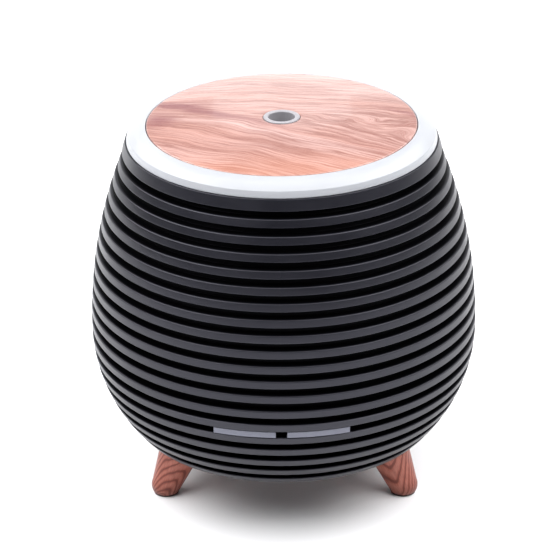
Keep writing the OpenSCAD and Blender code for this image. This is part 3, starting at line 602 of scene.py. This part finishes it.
def cover_shell():
    """Twelve ribs, the plain top band and a smooth inside, open at the top for the ring."""
    roof_z = COVER_HIGH.z
    corners = [((body_r(PART_Z) - GROOVE_DEPTH, PART_Z), LIP_FILLET)]
    for i in range(COVER_RIBS - 1, -1, -1):
        corners += rib_outline(i)
    corners += [
        ((body_r(BAND_LOW_Z) - GROOVE_DEPTH, BAND_LOW_Z), GROOVE_FILLET),
        ((BAND_R, BAND_LOW_Z), RIB_FILLET),
        ((BAND_TOP_R, roof_z), GROOVE_FILLET),
        ((SPIGOT_R + FIT, roof_z), 0),
        ((SPIGOT_R + FIT, roof_z - ROOF_T), 0),
    ]
    corners += inner_wall(roof_z - ROOF_T, PART_Z, 20)
    shell = finish_mesh(revolve("cover_ribs", fillet(corners)))
    return dress(shell, "cover", "black_shell", "cover_shell")


def light_ring():
    """Ring, deck and spigot in one moulding, with the screw bosses under the deck."""
    low, top = COVER_HIGH.z, RING_HIGH.z
    deck = DISC_LOW.z
    hole = NOZZLE_RIDGE_R + FIT
    side_r = BAND_TOP_R - RING_INSET
    shoulder_r, shoulder_z = side_r - RING_FLANK_LEAN, low + RING_FLANK_H
    seat_r = DISC_HIGH.x + DISC_GAP
    crown = []
    steps = 8
    for k in range(1, steps):
        t = k / steps
        bow = RING_BOW * math.sin(math.pi * t)
        r = shoulder_r + (seat_r - shoulder_r) * t + bow
        z = shoulder_z + (top - shoulder_z) * t + bow
        crown.append(((r, z), 0))
    corners = [
        ((hole, low), 0),
        ((SPIGOT_R - SPIGOT_WALL, low), 0.4 * MM),
        ((SPIGOT_R - SPIGOT_WALL, RING_SPIGOT_Z), 0.3 * MM),
        ((SPIGOT_R, RING_SPIGOT_Z), 0.3 * MM),
        ((SPIGOT_R, low), 0),
        ((side_r, low), 0.35 * MM),
        ((shoulder_r, shoulder_z), 0.5 * MM),
        *crown,
        ((seat_r, top), 0.4 * MM),
        ((seat_r, deck), 0.3 * MM),
        ((hole, deck), 0),
    ]
    ring = revolve("milky_ring", fillet(corners, steps=4))
    bosses = []
    for a in HOOD_SCREW_ANGLES:
        x, y = HOOD_SCREW_R * math.cos(a), HOOD_SCREW_R * math.sin(a)
        pin = rod("boss", (x, y, RING_LOW.z), (x, y, low + 0.5 * MM), BOSS_R)
        drill = rod("drill", (x, y, RING_LOW.z - MM), (x, y, low + 0.2 * MM), BOSS_BORE_R)
        bosses.append(cut(pin, [drill]))
    cut(ring, bosses, "UNION")
    return dress(finish_mesh(ring), "cover", "white_ring", "light_ring")


def wood_disc():
    """Domed disc with a softly broken edge and a flat land round the outlet."""
    radius, top = DISC_HIGH.x, DISC_HIGH.z
    dome_r = disc_dome_r()
    hole = NOZZLE_RIDGE_R + FIT
    land_r = NOZZLE_HIGH.x + 0.2 * MM
    land_z = NOZZLE_HIGH.z - NOZZLE_FLANGE_T
    crest = dome_drop(land_r, dome_r)
    steps = 24
    dome = []
    for k in range(1, steps):
        r = radius + (land_r - radius) * k / steps
        dome.append(((r, top + crest - dome_drop(r, dome_r)), 0))
    corners = [
        ((hole, DISC_LOW.z), 0),
        ((radius, DISC_LOW.z), 0.2 * MM),
        ((radius, top + crest - dome_drop(radius, dome_r)), 0.45 * MM),
        *dome,
        ((land_r, top), 0.15 * MM),
        ((land_r, land_z), 0),
        ((hole, land_z), 0),
    ]
    disc = finish_mesh(revolve("wood_face", fillet(corners, steps=4)))
    return dress(disc, "cover", "disc_wood", "wood_disc")


def mist_nozzle():
    """Flanged grommet with a rounded mouth and a tube that lines the outlet."""
    bore, flange = NOZZLE_BORE_R, NOZZLE_HIGH.x
    top, under = NOZZLE_HIGH.z, NOZZLE_HIGH.z - NOZZLE_FLANGE_T
    corners = [
        ((bore, NOZZLE_LOW.z), 0.2 * MM),
        ((NOZZLE_RIDGE_R, NOZZLE_LOW.z), 0.2 * MM),
        ((NOZZLE_RIDGE_R, under), 0),
        ((flange, under), 0),
        ((flange, top), 0.45 * MM),
        ((bore, top), 0.5 * MM),
    ]
    tube = finish_mesh(revolve("outlet_grommet", fillet(corners, steps=5), segments=96))
    return dress(tube, "cover", "grommet", "mist_nozzle")


# ---------------------------------------------------------------- base pieces
PLATE_REBATE_R = 45.7 * MM
FLANGE_R = 42 * MM
FLANGE_T = 2 * MM
SHELF_DROP = 3.9 * MM
SHELF_R = 50.5 * MM
SHELF_T = 2 * MM
LIP_GAP = 0.4 * MM
LIP_T = 1.7 * MM
JACK_Z = (rib_top(COVER_RIBS + 4) + rib_top(COVER_RIBS + 3) - RIB_H) / 2
JACK_BOSS_START_Y = 51 * MM
JACK_BOSS_Y = 60.8 * MM
JACK_BOSS_R = 6.8 * MM
JACK_BORE_R = 5.05 * MM
JACK_RECESS_R = 7.3 * MM
JACK_TOOL_START_Y = 46 * MM
JACK_TOOL_END_Y = 70 * MM
BUTTON_H = 2 * MM
BUTTON_SIDE_GAP = 0.2 * MM
BUTTON_EDGE_GAP = 0.1 * MM
BUTTON_SETBACK = 0.15 * MM
BUTTON_DEPTH = 6.3 * MM
BUTTON_STEM_R = 1.6 * MM
SLOT_END_Y = -48 * MM


def base_shell():
    """Seven ribs, a spigot for the cover, a shelf, a bottom flange, and holes for controls and jack."""
    shelf_z, lip_r = PART_Z - SHELF_DROP, BODY_R - GROOVE_DEPTH - WALL - LIP_GAP
    plate_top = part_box("fan_frame")[0].z
    last = COVER_RIBS + BASE_RIBS - 1
    corners = [((PLATE_REBATE_R, BASE_LOW.z), 0.2 * MM)]
    for i in range(last, COVER_RIBS - 1, -1):
        corners += rib_outline(i)
    corners += [
        ((body_r(PART_Z) - GROOVE_DEPTH, PART_Z), LIP_FILLET),
        ((lip_r, PART_Z), 0),
        ((lip_r, BASE_HIGH.z), 0.3 * MM),
        ((lip_r - LIP_T, BASE_HIGH.z), 0.3 * MM),
        ((lip_r - LIP_T, shelf_z), 0.2 * MM),
        ((SHELF_R, shelf_z), 0.2 * MM),
        ((SHELF_R, shelf_z - SHELF_T), 0.2 * MM),
    ]
    corners += inner_wall(shelf_z - SHELF_T, plate_top + FLANGE_T, 10)
    corners += [
        ((FLANGE_R, plate_top + FLANGE_T), 0),
        ((FLANGE_R, plate_top), 0),
        ((PLATE_REBATE_R, plate_top), 0),
    ]
    shell = revolve("base_ribs", fillet(corners))
    jack_face, jack_end = (0, JACK_BOSS_Y, JACK_Z), (0, JACK_TOOL_END_Y, JACK_Z)
    boss = rod("boss", (0, JACK_BOSS_START_Y, JACK_Z), jack_face, JACK_BOSS_R, sides=64)
    cut(shell, [boss], "UNION")
    tools = [
        rod("bore", (0, JACK_TOOL_START_Y, JACK_Z), jack_end, JACK_BORE_R, sides=64),
        rod("recess", jack_face, jack_end, JACK_RECESS_R, sides=64),
    ]
    half_h = BUTTON_H / 2 + BUTTON_EDGE_GAP
    for low, high in (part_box("light_button"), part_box("mist_button")):
        bar_z = (low.z + high.z) / 2
        tools.append(block(
            "slot",
            (low.x - BUTTON_SIDE_GAP, -1.1 * BODY_R, bar_z - half_h),
            (high.x + BUTTON_SIDE_GAP, SLOT_END_Y, bar_z + half_h),
        ))
    cut(shell, tools)
    return dress(finish_mesh(shell), "base", "black_shell", "base_shell")


def button(name, body, node):
    """Bar with an arched face and soft edges, and the hidden stem behind it."""
    low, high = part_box(node)
    mid_z = (low.z + high.z) / 2
    face_r = body_r(mid_z) - BUTTON_SETBACK
    back_r = face_r - BUTTON_DEPTH
    steps = 28

    def make(bm):
        rows = []
        for k in range(steps + 1):
            x = low.x + (high.x - low.x) * k / steps
            front = -math.sqrt(face_r ** 2 - x * x)
            back = -math.sqrt(back_r ** 2 - x * x)
            rows.append([
                bm.verts.new((x, y, mid_z + side * BUTTON_H / 2))
                for y, side in ((front, -1), (front, 1), (back, 1), (back, -1))
            ])
        for a, b in zip(rows, rows[1:]):
            for k in range(4):
                j = (k + 1) % 4
                bm.faces.new((a[k], a[j], b[j], b[k]))
        bm.faces.new(rows[0])
        bm.faces.new(rows[-1])

    bar = solid(name, make)
    stem_x = (low.x + high.x) / 2
    stem = rod("stem", (stem_x, -back_r, mid_z), (stem_x, high.y, mid_z), BUTTON_STEM_R, sides=32)
    cut(bar, [stem], "UNION")
    bevel = bar.modifiers.new("soft_edges", "BEVEL")
    bevel.width = 0.28 * MM
    bevel.segments = 3
    bevel.limit_method = "ANGLE"
    bevel.angle_limit = math.radians(40)
    finish_mesh(bar)
    return dress(bar, body, "button_grey", node)


# ---------------------------------------------------------------- legs and pads
LEG_SPLAY = math.radians(24.2)
FOOT_CIRCLE_R = 45.8 * MM
LEG_TIP_S = 3.3 * MM
LEG_FOOT_R = 4.45 * MM
LEG_TAPER = 0.157
LEG_LEN = 32 * MM


def leg_frame(node):
    """The leg's own axes: origin where its axis meets the floor, local Z up its axis."""
    pad_low, pad_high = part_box(node.replace("leg", "foot_pad"))
    foot = (pad_low + pad_high) / 2
    turn = math.atan2(foot.y, foot.x)
    place = Matrix.Rotation(turn, 4, "Z") @ Matrix.Translation((FOOT_CIRCLE_R, 0, 0))
    return place @ Matrix.Rotation(-LEG_SPLAY, 4, "Y")


def leg(node):
    """Tapered turned leg with a round tip, cut level under the body and on its pad."""
    low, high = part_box(node)
    tip_r = LEG_FOOT_R + LEG_TAPER * LEG_TIP_S
    round_steps, taper_steps = 14, 12
    outline = []
    for k in range(round_steps + 1):
        a = math.radians(-90 + 90 * k / round_steps)
        outline.append((tip_r * math.cos(a), LEG_TIP_S + tip_r * math.sin(a)))
    for k in range(1, taper_steps + 1):
        height = LEG_TIP_S + (LEG_LEN - LEG_TIP_S) * k / taper_steps
        outline.append((LEG_FOOT_R + LEG_TAPER * height, height))
    outline.append((0, LEG_LEN))
    piece = revolve("turned_" + node, outline, segments=72, closed=False)
    place = leg_frame(node)
    back = place.inverted()
    bm = bmesh.new()
    bm.from_mesh(piece.data)
    # The turned shape runs past both ends, so level planes cut it off at the CAD leg's heights
    for height, side in ((high.z, 1), (low.z, -1)):
        point = back @ Vector((0, 0, height))
        normal = back.to_3x3() @ Vector((0, 0, side))
        cut_all = bm.verts[:] + bm.edges[:] + bm.faces[:]
        made = bmesh.ops.bisect_plane(bm, geom=cut_all, plane_co=point, plane_no=normal, clear_outer=True)
        edges = [e for e in made["geom_cut"] if isinstance(e, bmesh.types.BMEdge)]
        bmesh.ops.contextual_create(bm, geom=edges)
    bmesh.ops.recalc_face_normals(bm, faces=bm.faces)
    bm.to_mesh(piece.data)
    bm.free()
    piece.matrix_world = place
    finish_mesh(piece)
    return dress(piece, "base", "leg_wood", node)


def foot_pad(node):
    """Thin rubber pad with a rounded rim."""
    low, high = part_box(node)
    centre = (low + high) / 2
    radius = (high.x - low.x) / 2
    corners = [
        ((0, low.z), 0),
        ((radius, low.z), 0.25 * MM),
        ((radius, high.z), 0.15 * MM),
        ((0, high.z), 0),
    ]
    pad = revolve("rubber_" + node, fillet(corners), segments=64, closed=False)
    pad.matrix_world = Matrix.Translation((centre.x, centre.y, 0))
    return dress(finish_mesh(pad), "base", "foot_rubber", node)


# ---------------------------------------------------------------- CAD nodes kept as they are
def dress_cad_nodes(rebuilt):
    """Every CAD node that still shows gets its slot's material and smooth round faces."""
    for name, obj in NODES.items():
        if name in rebuilt:
            continue
        obj.data.materials.clear()
        obj.data.materials.append(MATERIALS[NODE_SLOT[name]])
        obj.data.polygons.foreach_set("use_smooth", [True] * len(obj.data.polygons))
        weld = obj.modifiers.new("weld", "WELD")
        weld.merge_threshold = 0.002 * MM
        split = obj.modifiers.new("crease", "EDGE_SPLIT")
        split.split_angle = math.radians(32)


# ---------------------------------------------------------------- stage
CAMERA_DISTANCE = 0.972
CAMERA_ELEVATION = math.radians(25.14)
CAMERA_AZIMUTH = math.radians(1.08)
CAMERA_ROLL = math.radians(-0.65)
CAMERA_AIM_Z = 71.2 * MM
CAMERA_AIM_SHIFT = -1.13 * MM
LENS_MM = 185.1
OCTAGON_R = 25 * MM
OCTAGON_Y = 10.5 * MM
OCTAGON_WALL_Y = 1.1
OCTAGON_STRENGTH = 1.15
FLOOR_HALF = 6.0


def look_at(obj, place, target, roll=0.0):
    """Puts a camera or lamp at a place, facing a target."""
    turn = (Vector(target) - Vector(place)).to_track_quat("-Z", "Y").to_matrix().to_4x4()
    obj.matrix_world = Matrix.Translation(place) @ turn @ Matrix.Rotation(roll, 4, "Z")


def camera():
    """A long lens in front of the object and above it, looking down at its middle."""
    data = bpy.data.cameras.new("camera")
    data.lens = LENS_MM
    data.sensor_width = 36
    data.clip_start = 0.01
    data.clip_end = 50
    cam = bpy.data.objects.new("camera", data)
    bpy.context.scene.collection.objects.link(cam)
    right = Vector((math.cos(CAMERA_AZIMUTH), math.sin(CAMERA_AZIMUTH), 0))
    back = Vector((math.sin(CAMERA_AZIMUTH), -math.cos(CAMERA_AZIMUTH), 0))
    aim = right * CAMERA_AIM_SHIFT + Vector((0, 0, CAMERA_AIM_Z))
    away = back * math.cos(CAMERA_ELEVATION) + Vector((0, 0, math.sin(CAMERA_ELEVATION)))
    look_at(cam, aim + away * CAMERA_DISTANCE, aim, CAMERA_ROLL)
    bpy.context.scene.camera = cam


def area_light(name, place, target, size, power):
    """A rectangular lamp. Its power is in watts."""
    data = bpy.data.lights.new(name, "AREA")
    data.shape = "RECTANGLE"
    data.size, data.size_y = size
    data.energy = power
    lamp = bpy.data.objects.new(name, data)
    bpy.context.scene.collection.objects.link(lamp)
    look_at(lamp, place, target)


def octagon_softbox():
    """Glowing eight-sided panel whose mirror image is the pale octagon on the domed disc."""
    eye = bpy.context.scene.camera.matrix_world.translation
    dome_r = disc_dome_r()
    dome_centre = Vector((0, 0, DISC_HIGH.z - dome_r))
    corners = []
    for k in range(8):
        a = math.pi * (2 * k + 1) / 8
        x, y = OCTAGON_R * math.cos(a), OCTAGON_Y + OCTAGON_R * math.sin(a)
        spot = Vector((x, y, DISC_HIGH.z - dome_drop(math.hypot(x, y), dome_r)))
        ray = (spot - eye).normalized().reflect((spot - dome_centre).normalized())
        corners.append(spot + ray * (OCTAGON_WALL_Y - spot.y) / ray.y)

    def make(bm):
        bm.faces.new([bm.verts.new(c) for c in corners])

    box = solid("octagon_softbox", make)
    mat = bpy.data.materials.new("softbox_glow")
    mat.use_nodes = True
    nodes = mat.node_tree.nodes
    nodes.clear()
    glow = nodes.new("ShaderNodeEmission")
    glow.inputs["Strength"].default_value = OCTAGON_STRENGTH
    out = nodes.new("ShaderNodeOutputMaterial")
    mat.node_tree.links.new(glow.outputs[0], out.inputs[0])
    box.data.materials.append(mat)


def floor():
    """Plain pale ground, wide enough that the main view shows no edge."""
    def make(bm):
        bmesh.ops.create_grid(bm, x_segments=1, y_segments=1, size=FLOOR_HALF)

    ground = solid("floor", make)
    s = Shader("floor_white", (0.86, 0.86, 0.875), 0.6)
    s.put("Specular IOR Level", 0.3)
    ground.data.materials.append(s.mat)


def studio():
    """A wide soft light above, two strips at the sides, a low backdrop and an octagon softbox."""
    scene = bpy.context.scene
    scene.view_settings.view_transform = "Standard"
    scene.view_settings.look = "None"
    scene.view_settings.exposure = 0
    world = bpy.data.worlds.new("studio")
    scene.world = world
    world.use_nodes = True
    sky = world.node_tree.nodes["Background"]
    sky.inputs["Color"].default_value = (1.0, 1.0, 1.03, 1)
    sky.inputs["Strength"].default_value = 0.10
    # Lamps that face down aim a hair to one side, which fixes the direction of their long side
    area_light("overhead", (0, -0.15, 1.25), (0, -0.1499, 0), (2.0, 1.5), 29)
    area_light("backdrop", (0, 1.6, 0.3), (0, 0, 0.3), (3.0, 0.6), 9.0)
    area_light("left", (-0.55, 0.05, 0.6), (-0.5499, 0.05, 0), (0.5, 1.3), 12)
    area_light("right", (0.55, 0.05, 0.6), (0.5499, 0.05, 0), (0.5, 1.3), 10.5)
    octagon_softbox()


# ---------------------------------------------------------------- build
SHELLS_AND_BUTTONS = (
    "cover_shell", "light_ring", "wood_disc", "mist_nozzle", "base_shell", "light_button", "mist_button"
)
LEGS = ("leg_left", "leg_right", "leg_back")
PADS = ("foot_pad_left", "foot_pad_right", "foot_pad_back")

camera()
floor()
studio()
cover_shell()
light_ring()
wood_disc()
mist_nozzle()
base_shell()
button("light_button_bar", "light_button", "light_button")
button("mist_button_bar", "mist_button", "mist_button")
for leg_node in LEGS:
    leg(leg_node)
for pad_node in PADS:
    foot_pad(pad_node)
dress_cad_nodes({*SHELLS_AND_BUTTONS, *LEGS, *PADS})
